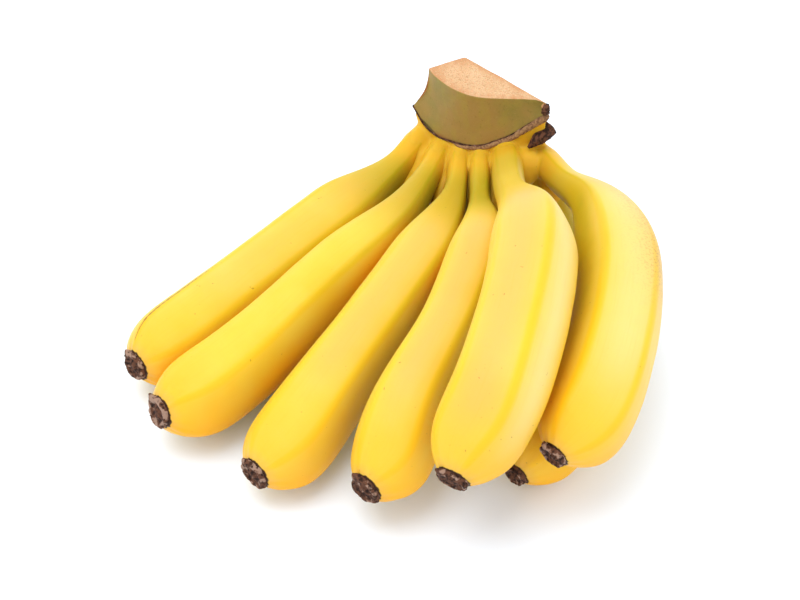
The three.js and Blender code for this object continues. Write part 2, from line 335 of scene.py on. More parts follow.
def fruitSection(fruit, shares, offsets, grow):
    # centre of each ring, its two half axes, upwards and sideways, and its heading, in millimetres
    dense = fruitLine(fruit)
    centre = alongCurve(dense, shares)
    # the rings turn more slowly than the line bends, so that they never cross
    heading = evened(unit(np.gradient(dense, axis=0)), fruitForm["slowTurning"])
    places = np.clip(shares, 0, 1) * (len(heading) - 1)
    steps = np.arange(len(heading))
    along = unit(np.stack([np.interp(places, steps, column) for column in heading.T], axis=1))
    side = np.cross(up, dense[-1] - dense[0])
    side = unit(side - along * (along @ side)[:, None])
    lift = np.cross(along, side)
    swell = smoothStep(shares, fruit["neck"], fruit["shoulder"])
    closing = np.clip((shares - fruitForm["taperStart"]) / (1 - fruitForm["taperStart"]), 0, 1)
    still = 1 - (1 - fruit["tip"] / fruit["radius"]) * closing ** fruitForm["closingPower"]
    radius = (fruit["stalk"] + (fruit["radius"] - fruit["stalk"]) * swell) * still * grow
    body = smoothStep(shares, 0, fruit["shoulder"])
    press = fruit["squeeze"] * body * (1 - smoothStep(shares, fruitForm["pressEnd"], 1))
    wide = radius * (1 - press)
    tall = radius * (1 + fruitForm["stalkDepth"] * (1 - body) + fruitForm["pressRise"] * press)
    centre = centre + along * offsets[:, None] + handShift
    return centre, lift * tall[:, None], side * wide[:, None], along


def tipFrame(fruit):  # centre, the two half axes and the heading of the fruit's last ring
    one = np.ones(1)
    return (part[0] for part in fruitSection(fruit, one, 0 * one, one))


skinForm = {
    "sides": 120,
    "ridgeHeight": 0.033,  # share of the radius that the five ridges stand out
    "ridgeEdge": 0.020,  # the crisper edge on top of each ridge
    "edgeSharpness": 7.0,
    "ridgeOnStalk": 0.55,  # how much of a ridge there is on the stalk
    "ridgeGrowth": (0.05, 0.3),  # shares between which it grows to all of it
    "ridgeFade": (16.0, 2.0, 0.6),  # mm from the tip where it starts and stops to fade, and by how much
    "waveHeight": 0.30,
    "waveSize": 24.0,
    "puckerDepth": 0.045,  # furrows that draw the skin in round the dried end
    "puckerFrom": (11.0, 1.0),  # mm from the tip between which they deepen
}


def skinTree():
    # sweeps a five-ridged section along rings that carry their own axes
    tree, given, end = newTree("bananaSkin", {
        "Sides": "Int", "Turn": "Float", "Ridge Height": "Float", "Ridge Edge": "Float",
        "Edge Sharpness": "Float", "Pucker Depth": "Float", "Wave Height": "Float", "Wave Size": "Float",
        "Seed": "Float", "Material": "Material"})
    kinds = {"around": "FLOAT", "pucker": "FLOAT", "ridgeHold": "FLOAT",
             "centre": "FLOAT_VECTOR", "liftAxis": "FLOAT_VECTOR", "sideAxis": "FLOAT_VECTOR"}
    read = {name: addNode(tree, "GeometryNodeInputNamedAttribute", {"Name": name}, data_type=kind)
            for name, kind in kinds.items()}
    around = read["around"]
    path = addNode(tree, "GeometryNodeMeshToCurve", {0: given["Geometry"]})
    ring = addNode(tree, "GeometryNodeCurvePrimitiveCircle", {"Resolution": given["Sides"]})
    share = addNode(tree, "GeometryNodeSplineParameter", output="Factor")
    radians = addNode(tree, "ShaderNodeMath", {0: share, 1: math.tau}, operation="MULTIPLY")
    marked = addNode(tree, "GeometryNodeStoreNamedAttribute",
                     {"Geometry": ring, "Name": "around", "Value": radians},
                     data_type="FLOAT", domain="POINT")
    tube = addNode(tree, "GeometryNodeCurveToMesh",
                   {"Curve": path, "Profile Curve": marked, "Fill Caps": True})

    # five ridges, each with a crisper edge on top
    fivefold = addNode(tree, "ShaderNodeMath", {0: around, 1: 5.0}, operation="MULTIPLY")
    wave = addNode(tree, "ShaderNodeMath", {0: fivefold}, operation="COSINE")
    raised = addNode(tree, "ShaderNodeMath", {0: wave, 1: 0.5, 2: 0.5}, operation="MULTIPLY_ADD")
    crest = addNode(tree, "ShaderNodeMath", {0: raised, 1: given["Edge Sharpness"]}, operation="POWER")
    edge = addNode(tree, "ShaderNodeMath", {0: crest, 1: given["Ridge Edge"]}, operation="MULTIPLY")
    ridges = addNode(tree, "ShaderNodeMath", {0: wave, 1: given["Ridge Height"], 2: edge},
                     operation="MULTIPLY_ADD")
    ridged = addNode(tree, "ShaderNodeMath", {0: ridges, 1: read["ridgeHold"], 2: 1.0},
                     operation="MULTIPLY_ADD")

    # furrows of two rhythms, which no two fruits have at the same angles
    ninefold = addNode(tree, "ShaderNodeMath", {0: around, 1: 9.0, 2: given["Seed"]},
                       operation="MULTIPLY_ADD")
    narrow = addNode(tree, "ShaderNodeMath", {0: ninefold}, operation="COSINE")
    fourfold = addNode(tree, "ShaderNodeMath", {0: around, 1: 4.0}, operation="MULTIPLY")
    broad = addNode(tree, "ShaderNodeMath", {0: fourfold}, operation="COSINE")
    furrows = addNode(tree, "ShaderNodeMath", {0: narrow, 1: broad}, operation="MULTIPLY")
    drawn = addNode(tree, "ShaderNodeMath", {0: furrows, 1: read["pucker"]}, operation="MULTIPLY")
    pucker = addNode(tree, "ShaderNodeMath", {0: drawn, 1: given["Pucker Depth"]}, operation="MULTIPLY")
    size = addNode(tree, "ShaderNodeMath", {0: ridged, 1: pucker}, operation="ADD")

    # the section laid out on each ring's own axes
    angle = addNode(tree, "ShaderNodeMath", {0: around, 1: given["Turn"]}, operation="ADD")
    reaches = []
    for axis, operation in (("liftAxis", "COSINE"), ("sideAxis", "SINE")):
        turned = addNode(tree, "ShaderNodeMath", {0: angle}, operation=operation)
        reach = addNode(tree, "ShaderNodeMath", {0: turned, 1: size}, operation="MULTIPLY")
        scaled = addNode(tree, "ShaderNodeVectorMath", {0: read[axis], "Scale": reach}, operation="SCALE")
        reaches.append(scaled)
    outward = addNode(tree, "ShaderNodeVectorMath", dict(enumerate(reaches)), operation="ADD")
    place = addNode(tree, "ShaderNodeVectorMath", {0: read["centre"], 1: outward}, operation="ADD")
    shaped = addNode(tree, "GeometryNodeSetPosition", {"Geometry": tube, "Position": place})

    # soft unevenness, so that no fruit is a perfect sweep
    here = addNode(tree, "GeometryNodeInputPosition")
    scale = addNode(tree, "ShaderNodeMath", {0: 1.0, 1: given["Wave Size"]}, operation="DIVIDE")
    cloud = addNode(tree, "ShaderNodeTexNoise",
                    {"Vector": here, "W": given["Seed"], "Scale": scale, "Detail": 1.0},
                    noise_dimensions="4D")
    centred = addNode(tree, "ShaderNodeMath", {0: cloud, 1: 2.0, 2: -1.0}, operation="MULTIPLY_ADD")
    swing = addNode(tree, "ShaderNodeMath", {0: centred, 1: given["Wave Height"]}, operation="MULTIPLY")
    held = addNode(tree, "ShaderNodeMath", {0: swing, 1: read["ridgeHold"]}, operation="MULTIPLY")
    away = addNode(tree, "ShaderNodeVectorMath", {0: here, 1: read["centre"]}, operation="SUBTRACT")
    outwards = addNode(tree, "ShaderNodeVectorMath", {0: away}, operation="NORMALIZE")
    drift = addNode(tree, "ShaderNodeVectorMath", {0: outwards, "Scale": held}, operation="SCALE")
    uneven = addNode(tree, "GeometryNodeSetPosition", {"Geometry": shaped, "Offset": drift})
    kept = addNode(tree, "GeometryNodeStoreNamedAttribute",
                   {"Geometry": uneven, "Name": "ridgeWave", "Value": wave},
                   data_type="FLOAT", domain="POINT")
    finishTree(tree, kept, given["Material"], end)
    return tree


def ringPath(fruit, name):
    # the rings of one skin: root inside the crown, body, and the end drawn in under the dried knob
    count = fruitForm["rings"]
    (rootDepths, rootGirths), (endDepths, endGirths) = (
        np.array(fruitForm[key]).T for key in ("rootRings", "endRings"))
    body = 1 - (1 - np.arange(1, count + 1) / count) ** fruitForm["crowding"]
    shares = np.concatenate([np.zeros(len(rootDepths)), body, np.ones(len(endDepths))])
    offsets = np.concatenate([rootDepths * fruitForm["rootDepth"], np.zeros(count), endDepths])
    grow = np.concatenate([rootGirths, np.ones(count), endGirths])
    centre, lift, side, _ = fruitSection(fruit, shares, offsets, grow)
    host = meshObject(name + "Path", centre * mm, (), [(i, i + 1) for i in range(len(centre) - 1)])
    steps = np.linalg.norm(np.diff(centre + lift, axis=0), axis=1)
    fromTip = np.concatenate([np.cumsum(steps[::-1])[::-1], [0.0]])
    fromTip = np.maximum(0.0, fromTip - fromTip[len(rootDepths) + count - 1])
    fadeStart, fadeEnd, fade = skinForm["ridgeFade"]
    grown = smoothStep(shares, *skinForm["ridgeGrowth"])
    ridgeHold = skinForm["ridgeOnStalk"] + (1 - skinForm["ridgeOnStalk"]) * grown
    ridgeHold -= fade * smoothStep(fromTip, fadeStart, fadeEnd)
    for key, vectors in {"centre": centre, "liftAxis": lift, "sideAxis": side}.items():
        storeVectors(host.data, key, vectors * mm)
    for key, values in {"share": shares, "fromTip": fromTip, "ridgeHold": ridgeHold,
                        "pucker": smoothStep(fromTip, *skinForm["puckerFrom"])}.items():
        storeFloats(host.data, key, values)
    return host


def grains(tree, size, detail=2.0, stretch=(1, 1, 1), place=None):  # noise whose grains are size mm across
    place = place or addNode(tree, "ShaderNodeTexCoord", output="Object")
    spread = addNode(tree, "ShaderNodeMapping", {"Vector": place, "Scale": stretch})
    return addNode(tree, "ShaderNodeTexNoise", {"Vector": spread, "Scale": 1 / (size * mm), "Detail": detail})


def layColours(tree, colour, layers):
    # lays tones over a colour in turn. Each layer says what steers it, between which values that fades
    # in (None takes it as it is), how strong the tone gets, and the tone.
    for value, fade, strength, tone in layers:
        if fade:
            value = addNode(tree, "ShaderNodeMapRange", {"Value": value, 1: fade[0], 2: fade[1]},
                            interpolation_type="SMOOTHSTEP")
        share = addNode(tree, "ShaderNodeMath", {0: value, 1: strength}, operation="MULTIPLY", use_clamp=True)
        colour = addNode(tree, "ShaderNodeMix", {0: share, 6: colour, 7: linear(tone)}, output=2,
                         data_type="RGBA")
    return colour


peelColours = {
    "facet": "#DCBF43",
    "ridge": "#DDB816",
    "cloudy": "#DCB626",
    "green": "#9E9C18",
    # golden tone of roots and tips, also used as painted shade on undersides and in gaps
    "golden": "#EDA008",
    "peach": "#DFA962",
    # tone of the painted highlights
    "pale": "#DECA7E",
    # the necks' duller tone, partly painted shade
    "neck": "#B4921C",
    # painted brown shade in clefts and where fruits nearly touch
    "paintedShade": "#80500A",
    "blush": "#D0A052",
    "speckle": "#A06C34",
    "scar": "#6B3F1C",
    "dryEdge": "#33190F",
}


def ripePeel():
    # banana peel: waxy living skin over pale pith, so a soft broad sheen and a warm glow in the gaps, with
    # shade and highlights also painted into its colour
    material, tree, shader = newMaterial("ripeBananaPeel")
    tone = peelColours
    mark = {name: addNode(tree, "ShaderNodeAttribute", output="Fac", attribute_name=name)
            for name in ("ridgeWave", "green", "golden", "peach", "pale", "deep", "neckDullnessAndShade", "paintedShade",
                         "blush", "freckle", "scarGap", "fromTip")}
    straight = addNode(tree, "ShaderNodeAttribute", output="Vector", attribute_name="straight")
    ridge = addNode(tree, "ShaderNodeMapRange", {"Value": mark["ridgeWave"], 1: 0.72, 2: 1.0},
                    interpolation_type="SMOOTHSTEP")
    # the ridges' deeper yellow, with the painted shade of the deep mark added
    deepened = addNode(tree, "ShaderNodeMath", {0: ridge, 1: 0.65, 2: mark["deep"]}, operation="MULTIPLY_ADD")
    mottle = addNode(tree, "ShaderNodeMath", {0: grains(tree, 9), 1: 0.9, 2: 0.55}, operation="MULTIPLY_ADD")
    mottledGreen = addNode(tree, "ShaderNodeMath", {0: mark["green"], 1: mottle}, operation="MULTIPLY")
    fibres = grains(tree, 0.9, 2.0, (1, 1, 0.05), straight)  # faint fibres run the length of the fruit
    # the blush's dots are a third of this size on a real fruit, too fine to show
    dots = addNode(tree, "ShaderNodeMapRange", {"Value": grains(tree, 0.9, 1.5), 1: 0.54, 2: 0.62},
                   interpolation_type="SMOOTHSTEP")
    blushDots = addNode(tree, "ShaderNodeMath", {0: mark["blush"], 1: dots}, operation="MULTIPLY")
    freckles = addNode(tree, "ShaderNodeMath", {0: mark["freckle"], 1: 0.045, 2: grains(tree, 1.9)},
                       operation="MULTIPLY_ADD")
    # the edges of the scar and of the dried rim are ragged
    ragged = addNode(tree, "ShaderNodeMath", {0: grains(tree, 1.6, 3.0), 1: 2.0, 2: -1.0},
                     operation="MULTIPLY_ADD")
    scarGap, rimGap = (addNode(tree, "ShaderNodeMath", {0: ragged, 1: 0.6, 2: mark[name]},
                               operation="MULTIPLY_ADD") for name in ("scarGap", "fromTip"))
    colour = layColours(tree, linear(tone["facet"]), [
        (grains(tree, 30), (0.40, 0.68), 0.55, tone["cloudy"]),
        (mark["peach"], None, 1.0, tone["peach"]),
        # painted highlights
        (mark["pale"], None, 1.0, tone["pale"]),
        (deepened, None, 1.0, tone["ridge"]),
        # golden: the roots' and tips' own tone, and painted shade
        (mark["golden"], None, 1.0, tone["golden"]),
        # the necks' duller tone, partly painted shade
        (mark["neckDullnessAndShade"], None, 1.0, tone["neck"]),
        # the stalks' green, partly painted shade on their shaded sides
        (mottledGreen, None, 1.0, tone["green"]),
        (fibres, (0.5, 0.75), 0.08, tone["golden"]),
        # painted brown shade in clefts and where fruits nearly touch
        (mark["paintedShade"], None, 1.0, tone["paintedShade"]),
        (mark["blush"], None, 0.6, tone["blush"]),
        (blushDots, None, 0.7, tone["speckle"]),
        (freckles, (0.748, 0.775), 0.45, tone["scar"]),
        (scarGap, (0.7, 0.1), 0.75, tone["scar"]),
        (rimGap, (6.0, 0.8), 0.4, tone["blush"]),
        (rimGap, (0.9, 0.4), 1.0, tone["dryEdge"]),
    ])
    # real pores are a few tenths of a millimetre, here they are drawn as coarse as they need to show
    pores = addNode(tree, "ShaderNodeMath", {0: grains(tree, 1.4, 3.0), 1: fibres}, operation="ADD")
    relief = addNode(tree, "ShaderNodeBump", {"Height": pores, "Strength": 0.12, "Distance": 0.22 * mm})
    # the skin shines less where the golden tone lies: at root and tip, and in the painted shade of undersides
    # and gaps, which so keep their deep colour
    sheen = addNode(tree, "ShaderNodeMath", {0: mark["golden"], 1: -0.26, 2: 0.36}, operation="MULTIPLY_ADD")
    feed(tree, shader, {
        "Base Color": colour, "Normal": relief, "Specular IOR Level": sheen, "Roughness": 0.42, "IOR": 1.46,
        "Specular Tint": (1.0, 0.9, 0.6, 1.0), "Subsurface Weight": 0.4,
        "Subsurface Radius": (1.0, 0.5, 0.1), "Subsurface Scale": 5.0 * mm})
    return material


# Marks of single fruits by number: the middle and half width in degrees from straight up towards
# the right-hand side, the shares of the length between which they show, and how strong they are.
skinMarks = {
    "peach": {1: (10, 34, 0.2, 0.8, 0.3), 3: (5, 34, 0.3, 0.8, 0.5), 4: (-5, 32, 0.35, 0.85, 0.6),
              5: (-15, 36, 0.36, 0.92, 0.65), 6: (20, 44, 0.2, 0.85, 0.4), 7: (0, 40, 0.3, 0.8, 0.3)},
    # painted highlights: broad pale patches where the lamp lights the sixth, fifth and first fruits most
    "pale": {6: (18, 40, 0.3, 0.85, 0.75), 5: (56, 26, 0.24, 0.92, 0.9), 1: (-40, 30, 0.5, 0.95, 0.35)},
    "blush": {6: (72, 42, 0.14, 0.62, 1.1), 7: (60, 40, 0.5, 0.9, 0.2)},
    # green marks: partly the fruits' own green, partly painted shade where a neighbour shades them
    "green": {4: (0, 80, 0.1, 0.3, 0.35), 6: (-62, 26, 0.24, 0.75, 0.35), 7: (-20, 60, 0.14, 0.35, 0.5)},
    # painted shade: the sixth fruit's left flank, in the fifth's shade, painted a deeper yellow
    "deep": {6: (-72, 40, 0.16, 1.0, 0.9)},
    # painted shade on the seventh fruit, which lies under the fifth and sixth
    "paintedShade": {7: (0, 90, 0.2, 0.55, 0.3)},
    "freckle": {5: (10, 60, 0.8, 1.0, 1.0), 4: (20, 70, 0.8, 1.0, 0.6), 1: (30, 60, 0.7, 0.95, 0.6)},
}

# a rubbed brown line on a ridge, faint before its full share
ridgeScar = {"fruit": 1, "angle": -22.0, "faintFrom": 0.55, "from": 0.80, "to": 0.985, "faintness": 0.9,
             "endGap": 4.0}  # mm, how far off the scar counts past its end
noScar = 9.0  # mm, a distance at which a scar doesn't show

# The tones that all fruits share, painted shade among them.
skinTones = {
    "shares": {  # between which shares of the length they change
        "root": (0.03, 0.13),  # the stalk's own tones start as it leaves the cushion
        "greenStart": (0.03, 0.11),
        "greenEnd": (0.12, 0.32),
        "dullEnd": (0.14, 0.40),
        "cleftEnd": (0.13, 0.42),
        "paintedShadeEnd": (0.2, 0.4),  # the painted shade between touching fruits gets weaker past the stalk
        "ridgeGreenEnd": (0.45, 0.8),
        "goldenTip": (0.78, 0.98),
    },
    # the middle and half width in degrees of the sides that some of them keep to
    "sides": {"shadedGreenSide": (92, 52), "underside": (128, 48), "cleft": (112, 36)},
    "strengths": {
        "stalkGreen": 0.85,
        "greenAround": 0.16,  # the share of a stalk's green that shows all round it
        "shadedGreenSide": 0.70,  # and what its side turned from the light adds: partly the stalk's own green, partly painted shade
        "ridgeGreen": 0.22,
        "goldenRoot": 0.42,  # as golden as the cushion
        # painted shade: the underside, turned from the light, is painted golden
        "paintedShadeUnderside": 0.5,
        "goldenTip": 0.35,
        # painted shade in the cleft under each stalk
        "paintedCleftShade": 0.4,
        "dullRoot": 0.3,  # as dull as the cushion
        "paintedShadeLoss": 0.75,  # how much of the painted shade between touching fruits is lost past the stalk
    },
    "stalkGreen": (1.0, 1.0, 0.9, 0.8, 0.4, 0.3, 1.0),  # how green each fruit's stalk is
    # how much darker each stalk is painted: partly its own duller tone, partly painted shade
    "stalkDullnessAndShade": (0.6, 0.75, 0.75, 0.85, 0.6, 0.25, 0.5),
    "markEdges": (0.08, 0.1),  # how softly a mark starts and stops, half widths as shares
}

# Shade painted into the skins' colour on sides turned from the light, near the next fruit.
gapShade = {
    "golden": (10.0, 1.0, 0.85),  # painted shade: a side turned from the light turns golden from this gap to the next fruit to this one, mm
    "paintedShade": (3.2, 0.3, 0.6),  # and a painted deep brown shade where the two nearly touch
    "shaded": (0.50, 0.0),  # how squarely a side faces the light where that starts, and where it is full
    "rings": 32,  # how many rings of the next fruit are looked at
    "firstRing": 0.06,  # the share at which they start
    "beside": 3.5,  # only rings that a point lies this nearly level with count, mm
    "none": 99.0,
}


def nextFruit(points, number):  # the gap from each point to the nearest other fruit, in millimetres
    shares = np.linspace(gapShade["firstRing"], 1, gapShade["rings"])
    nearest = np.full(len(points), gapShade["none"])
    for other, fruit in enumerate(fruits, 1):
        if other == number:
            continue
        centre, lift, side, _ = fruitSection(fruit, shares, np.zeros_like(shares), np.ones_like(shares))
        away = (points[:, None] - centre).astype(np.float32)
        lift, side = lift.astype(np.float32), side.astype(np.float32)
        liftSquare, sideSquare = (lift ** 2).sum(1), (side ** 2).sum(1)
        tall = np.einsum("ijk,jk->ij", away, lift) / liftSquare
        wide = np.einsum("ijk,jk->ij", away, side) / sideSquare
        reach = np.sqrt(tall ** 2 + wide ** 2) + 1e-6
        distance = np.linalg.norm(away, axis=2)
        gap = np.where(reach > 1, distance * (1 - 1 / reach), 0)
        inPlane = tall ** 2 * liftSquare + wide ** 2 * sideSquare
        beside = np.sqrt(np.maximum(0, distance ** 2 - inPlane))
        nearest = np.minimum(nearest, np.where(beside < gapShade["beside"], gap, gapShade["none"]).min(1))
    return nearest


def paintSkin(mesh, number, fruit):
    # where this fruit is green, golden, peachy, blushed or scarred, from its own share and angle, and where
    # shade and highlights are painted into its colour
    share = readFloats(mesh, "share")
    around = readFloats(mesh, "around")
    angle = around + math.radians(fruit["turn"])
    crest = np.maximum(0.0, np.cos(5 * around)) ** 8
    softStart, softStop = skinTones["markEdges"]

    def apart(degrees):  # how far each point is from an angle round the fruit, in degrees
        return np.abs((np.degrees(angle) - degrees + 180) % 360 - 180)

    def onSide(name):
        middle, width = skinTones["sides"][name]
        return bump(apart(middle), 0, width)

    def marked(kind):
        middle, width, start, stop, strength = skinMarks[kind].get(number, (0, 1, 0, 0.001, 0))
        comesIn = smoothStep(share, start - softStart, start + softStart)
        goesOut = 1 - smoothStep(share, stop - softStop, stop + softStop)
        return strength * bump(apart(middle), 0, width) * (comesIn * goesOut)

    past = {name: smoothStep(share, *limits) for name, limits in skinTones["shares"].items()}
    facing = np.zeros(len(share) * 3, np.float32)
    mesh.vertices.foreach_get("normal", facing)
    toLight = facing.reshape(-1, 3) @ unit(np.array(softLight["keyFrom"]))
    shadow = smoothStep(toLight, *gapShade["shaded"])
    gap = nextFruit(readPoints(mesh) / mm, number)

    # painted shade where a side turned from the light lies near the next fruit
    def gapTone(kind):
        wide, narrow, strength = gapShade[kind]
        return strength * smoothStep(gap, wide, narrow) * shadow * past["root"]

    much = skinTones["strengths"]
    # the stalk's green, strongest on the side turned from the light: partly its own green, partly painted
    # shade
    green = much["stalkGreen"] * skinTones["stalkGreen"][number - 1] * past["greenStart"]
    green *= (1 - past["greenEnd"]) * (much["greenAround"] + much["shadedGreenSide"] * onSide("shadedGreenSide"))
    green += much["ridgeGreen"] * crest * (1 - past["ridgeGreenEnd"])
    # golden: the root's and tip's own tone, and painted shade on the underside and on shaded sides near the
    # next fruit
    golden = much["goldenRoot"] * (1 - past["root"]) + much["paintedShadeUnderside"] * onSide("underside")
    golden += much["goldenTip"] * past["goldenTip"] + gapTone("golden")
    # painted brown shade in the stalk's cleft and where fruits nearly touch
    paintedShade = much["paintedCleftShade"] * past["root"] * (1 - past["cleftEnd"]) * onSide("cleft")
    paintedShade += (1 - much["paintedShadeLoss"] * past["paintedShadeEnd"]) * gapTone("paintedShade")
    # the necks painted darker: partly their own duller tone, partly painted shade
    dull = much["dullRoot"] + (skinTones["stalkDullnessAndShade"][number - 1] - much["dullRoot"]) * past["root"]
    scarGap = np.full(len(share), noScar)
    if number == ridgeScar["fruit"]:
        faint = ridgeScar["faintness"] * (1 - smoothStep(share, ridgeScar["faintFrom"], ridgeScar["from"]))
        pastEnd = ridgeScar["endGap"] * (share > ridgeScar["to"])
        scarGap = np.radians(apart(ridgeScar["angle"])) * fruit["radius"] + faint + pastEnd
    tones = {
        "green": np.clip(green + marked("green"), 0, 1),
        "golden": np.clip(golden, 0, 1),
        "paintedShade": np.clip(paintedShade + marked("paintedShade"), 0, 1),
        "neckDullnessAndShade": dull * (1 - past["dullEnd"]),
        "peach": marked("peach") * (1 - crest),
        # painted highlights
        "pale": marked("pale") * (1 - crest),
        "deep": marked("deep"),
        "blush": marked("blush"),
        "freckle": marked("freckle"),
        "scarGap": scarGap,
    }
    for name, values in tones.items():
        storeFloats(mesh, name, values)
    girth, length = fruit["radius"] * mm, fruitForm["length"] * mm
    rolledOut = np.stack([np.cos(around) * girth, np.sin(around) * girth, share * length], axis=1)
    storeVectors(mesh, "straight", rolledOut)  # the fruit as if it were straight, for its fibres


def growSkins(peel):
    tree = skinTree()
    for number, fruit in enumerate(fruits, 1):
        name = f"bananaSkin_{number}"
        skin = growFrom(ringPath(fruit, name), tree, name, {
            "Sides": skinForm["sides"], "Turn": math.radians(fruit["turn"]),
            "Ridge Height": skinForm["ridgeHeight"], "Ridge Edge": skinForm["ridgeEdge"],
            "Edge Sharpness": skinForm["edgeSharpness"], "Pucker Depth": skinForm["puckerDepth"],
            "Wave Height": skinForm["waveHeight"] * mm, "Wave Size": skinForm["waveSize"] * mm,
            "Seed": 3.7 * number, "Material": peel})
        faceOutwards(skin.data)
        paintSkin(skin.data, number, fruit)
        keep(skin, "peel", f"banana_{number}")
    print("banana skins are grown")


crown = {
    # the rind block from its left corner round the front to its right corner and back along the
    # straight cuts: plan position at the cut face, then the foot's own position
    "rindEdge": [
        ((13, 112), (6, 110, 51.5)), ((15.5, 106.5), (12, 105.5, 43)), ((20, 100), (17.5, 101, 40.5)),
        ((25, 95), (24, 95.5, 41.5)), ((31, 91), (31, 91.5, 42.5)), ((37, 89), (37.5, 89.5, 44)),
        ((43.5, 88.3), (44, 88.5, 47.3)), ((50, 88), (50, 88, 50.5)), ((56, 87.8), (56, 87.5, 55.5)),
        ((61.5, 87), (62, 86.5, 61)), ((65.5, 84.5), (67, 84.5, 66)), ((57, 93.5), (58.5, 94, 57)),
        ((48, 103), (49, 104, 50)), ((39, 112), (39, 113.5, 47)), ((30, 121), (28, 123, 47)),
        ((21.5, 116.5), (17, 117, 48))],
    "cutHeight": 71.0,
    "cushionEdge": [
        (9.5, 113), (13, 109), (17.5, 105), (23.5, 98), (30, 92), (37.5, 90), (44, 89), (51, 88),
        (57, 88.5), (63, 90), (67, 92), (68, 98.5), (60, 106), (47, 115.5), (34, 125.5), (20, 124)],
    "corners": (0, 10, 14),  # places in both lists where the outline turns sharply
    "cushionRings": [(0, 0.5), (1.5, 0.62), (7, 0.8), (16, 0.94), (26, 1), (34, 1)],  # height, share of plan
    "ledge": (-0.2, 0.9),  # how far the cushion stands out past the rind's foot, at the left and at the right
    "ledgeDepths": (3.5, 0.8),  # how far the ledge's lower and upper edge lie under the rind's foot
    "tuck": 0.3,  # and how far the cushion's own top does
    "outlinePoints": (110, 60, 36),  # points on the front, the long cut and the short cut
    "skirt": [(-14, 0.75), (-6, 0.95), (0, 1.05), (4, 1.01), (8, 0.86)],  # mm along a stalk, share of girth
    # webs of skin between the stalks of neighbouring fruits: their reach is given as the skirt's is, and
    # drop is how far each ring lies under the stalks. The fifth and sixth part early, so a short fat web
    # fills the root of their gap.
    "webs": [
        {"between": [(1, 2), (2, 3), (3, 4), (4, 5), (6, 7)],
         "reach": [(-10, 0.9), (2, 0.9), (12, 0.85), (22, 0.72), (30, 0.5), (34, 0.1)],
         "drop": [3.0, 4.5, 9.0, 13.0, 16.0, 17.0]},
        {"between": [(5, 6)],
         "reach": [(-10, 0.9), (-4, 0.98), (-1, 1.02), (1.5, 1.0), (4, 0.84), (6, 0.45)],
         "drop": [0.5, 0.5, 0.8, 1.4, 2.2, 3.0]},
    ],
    "voxel": 0.7,
    "smoothing": (14, 3),  # rounds before and after it is kept clear of the rind
    "headroom": (0.5, 0.6, 2.5),  # mm kept free under the rind; past its ledge, how soon and fast it opens
}


def outlineAround(points):  # a dense closed outline, sharp only at the crown's corners
    points = np.asarray(points, float)
    starts = crown["corners"]
    ends = starts[1:] + (len(points),)
    ring = np.vstack([points, points[:1]])
    stretches = []
    for start, stop, count in zip(starts, ends, crown["outlinePoints"]):
        shares = np.arange(count) / count
        stretches.append(alongCurve(catmullRom(ring[start:stop + 1]), shares))
    outline = np.vstack(stretches)
    for _ in range(2):  # a knife-cut corner is not quite sharp
        outline = 0.25 * np.roll(outline, 1, 0) + 0.5 * outline + 0.25 * np.roll(outline, -1, 0)
    return outline


def outwardNormals(outline):  # level directions away from a closed outline that runs anticlockwise from above
    run = np.roll(outline, -2, 0) - np.roll(outline, 2, 0)
    return unit(np.stack([run[:, 1], -run[:, 0], np.zeros(len(run))], axis=1))


def noiseAt(points, size, seed, octaves=2):  # fractal noise from -1 to 1 at points in millimetres
    shift = Vector((seed * 7.31, seed * 3.17, seed * 5.77))
    return np.array([noise.fractal(Vector(p / size) + shift, 1.0, 2.0, octaves) for p in points])


rindForm = {
    "rows": 46,
    "capRings": 26,
    "capEnd": 0.02,  # share of the cut face that the smallest ring of its cap spans
    "waist": 2.0,  # how far the left flank draws in between foot and cut
    "frontWaist": 0.5,
    "swell": (0.25, 13.0),  # height and size of the wall's broad bumps
    "bark": (0.04, 1.8),  # and of its fine ones
    "sawWaves": (0.25, 9.0),  # and of the waves in the cut face
    "grain": (0.10, 0.9),  # and of its grain
}


def rindOutlines():
    foot = outlineAround([foot for _, foot in crown["rindEdge"]]) + handShift
    cut = outlineAround([(x, y, crown["cutHeight"]) for (x, y), _ in crown["rindEdge"]]) + handShift
    return foot, cut


def sawnHeights(points):  # the cut face's own height, with the saw's waves
    height, size = rindForm["sawWaves"]
    return crown["cutHeight"] + height * noiseAt(points, size, 3)


def rindWall(foot, cut):  # rows of the wall from the foot to the cut, drawn in at a waist and bumpy
    outward = outwardNormals((foot + cut) / 2)
    leftness = np.exp(-((foot[:, 0] - foot[:, 0].min()) / 9) ** 2)
    waist = rindForm["frontWaist"] + (rindForm["waist"] - rindForm["frontWaist"]) * leftness
    wall = np.vstack([foot + (cut - foot) * t - outward * (waist * math.sin(math.pi * t) ** 1.2)[:, None]
                      for t in np.linspace(0, 1, rindForm["rows"])])
    (swell, swellSize), (bark, barkSize) = rindForm["swell"], rindForm["bark"]
    bumps = swell * noiseAt(wall, swellSize, 1) + bark * noiseAt(wall, barkSize, 2)
    return wall + np.tile(outward, (rindForm["rows"], 1)) * bumps[:, None]


